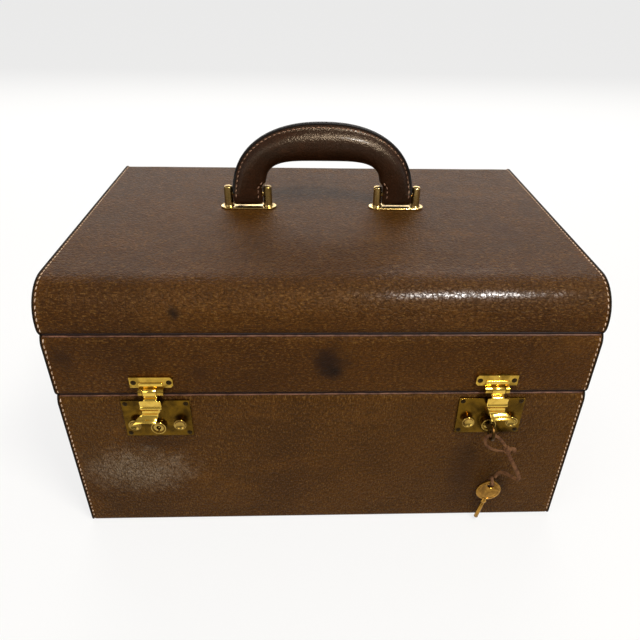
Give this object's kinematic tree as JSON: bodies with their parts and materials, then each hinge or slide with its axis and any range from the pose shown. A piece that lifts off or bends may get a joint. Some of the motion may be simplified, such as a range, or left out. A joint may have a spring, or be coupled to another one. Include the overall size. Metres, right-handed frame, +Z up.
{
  "type": "dressing box",
  "caption": "Antique fitted dressing box in brown leather: deep base, hinged tray tier and domed lid, brass hasp locks, arched handle and a key on a thong.",
  "frame": {"origin": "centre of the box's resting face", "axes": "+X along the width, the front with the locks faces -Y, +Z up"},
  "size_m": [0.33, 0.2518, 0.2465],
  "materials": {
    "brown_leather": "satin, fine grain, rubbed",
    "handle_leather": "satin, worn dark",
    "spring_steel": "plain",
    "case_wood": "plain",
    "suede_lining": "napped",
    "mirror_glass": "silvered",
    "frame_leather": "satin",
    "lace_leather": "matt, worn",
    "dark_brass": "dull",
    "brass": "aged, rubbed bright on edges"
  },
  "bodies": {
    "base": {"base_carcass": "case_wood", "base_leather": "brown_leather", "base_left_panel": "brown_leather", "base_right_panel": "brown_leather", "base_lining": "suede_lining", "base_divider": "suede_lining", "base_hinge_leaf": "brass", "base_hinge_pin": "brass", "base_hinge_screws": "dark_brass", "lock_plate_left": "brass", "lock_plate_right": "brass", "lock_case_left": "brass", "lock_case_right": "brass", "plate_screws": "brass", "thong_loop": "lace_leather", "thong_knot": "lace_leather", "thong_lace": "lace_leather", "key_hitch": "lace_leather"},
    "tray": {"tray_carcass": "case_wood", "tray_front_leather": "brown_leather", "tray_back_leather": "brown_leather", "tray_left_panel": "brown_leather", "tray_right_panel": "brown_leather", "tray_lining": "suede_lining", "tray_divider": "suede_lining", "tray_lower_leaf": "brass", "tray_upper_leaf": "brass", "lid_hinge_pin": "brass", "tray_hinge_screws": "dark_brass", "hasp_plate_left": "brass", "hasp_plate_right": "brass", "hasp_pin_left": "brass", "hasp_pin_right": "brass", "hasp_plate_screws": "brass", "catch_studs": "brass"},
    "lid": {"lid_carcass": "case_wood", "lid_leather": "brown_leather", "lid_left_panel": "brown_leather", "lid_right_panel": "brown_leather", "lid_lining": "suede_lining", "lid_mirror": "mirror_glass", "mirror_frame": "frame_leather", "lid_hinge_leaf": "brass", "lid_hinge_screws": "dark_brass", "catch_clips": "brass", "handle_mount_left": "brass", "handle_mount_right": "brass", "handle_pin_left": "brass", "handle_pin_right": "brass"},
    "handle": {"handle_grip": "handle_leather", "handle_core": "spring_steel"},
    "hasp_left": {"hasp_left": "brass"},
    "hasp_right": {"hasp_right": "brass"},
    "slide_left": {"slide_left": "brass"},
    "slide_right": {"slide_right": "brass"},
    "barrel_left": {"barrel_left": "brass"},
    "barrel_right": {"barrel_right": "brass", "lock_key": "brass"},
    "hanging_key": {"hanging_key": "brass"}
  },
  "joints": [
    {"name": "tray_lift", "type": "hinge", "parent": "base", "child": "tray", "pos_m": [0, 0.1182, 0.113], "axis": [-1, 0, 0], "range_deg": [0, 85]},
    {"name": "lid_open", "type": "hinge", "parent": "tray", "child": "lid", "pos_m": [0, 0.1182, 0.1565], "axis": [-1, 0, 0], "range_deg": [0, 95]},
    {"name": "handle_fold", "type": "hinge", "parent": "lid", "child": "handle", "pos_m": [0, 0.0115, 0.1965], "axis": [1, 0, 0], "range_deg": [-85, 85]},
    {"name": "hasp_left_open", "type": "hinge", "parent": "tray", "child": "hasp_left", "pos_m": [-0.1054, -0.1181, 0.1182], "axis": [-1, 0, 0], "range_deg": [0, 120]},
    {"name": "hasp_right_open", "type": "hinge", "parent": "tray", "child": "hasp_right", "pos_m": [0.1054, -0.1181, 0.1182], "axis": [-1, 0, 0], "range_deg": [0, 120]},
    {"name": "left_slide_release", "type": "slide", "parent": "base", "child": "slide_left", "axis": [-1, 0, 0], "range_m": [0, 0.0025], "stiffness_N_per_m": 300, "springref_m": -0.001},
    {"name": "right_slide_release", "type": "slide", "parent": "base", "child": "slide_right", "axis": [1, 0, 0], "range_m": [0, 0.0025], "stiffness_N_per_m": 300, "springref_m": -0.001},
    {"name": "left_barrel_turn", "type": "hinge", "parent": "base", "child": "barrel_left", "pos_m": [-0.1054, -0.1154, 0.0896], "axis": [0, 1, 0], "range_deg": [0, 90]},
    {"name": "right_barrel_turn", "type": "hinge", "parent": "base", "child": "barrel_right", "pos_m": [0.1054, -0.1154, 0.0896], "axis": [0, 1, 0], "range_deg": [0, 90], "deforming": ["thong_loop"]},
    {"name": "key_swing", "type": "hinge", "parent": "base", "child": "hanging_key", "pos_m": [0.1155, -0.12, 0.0357], "axis": [0, 1, 0], "range_deg": [0, 15]}
  ]
}
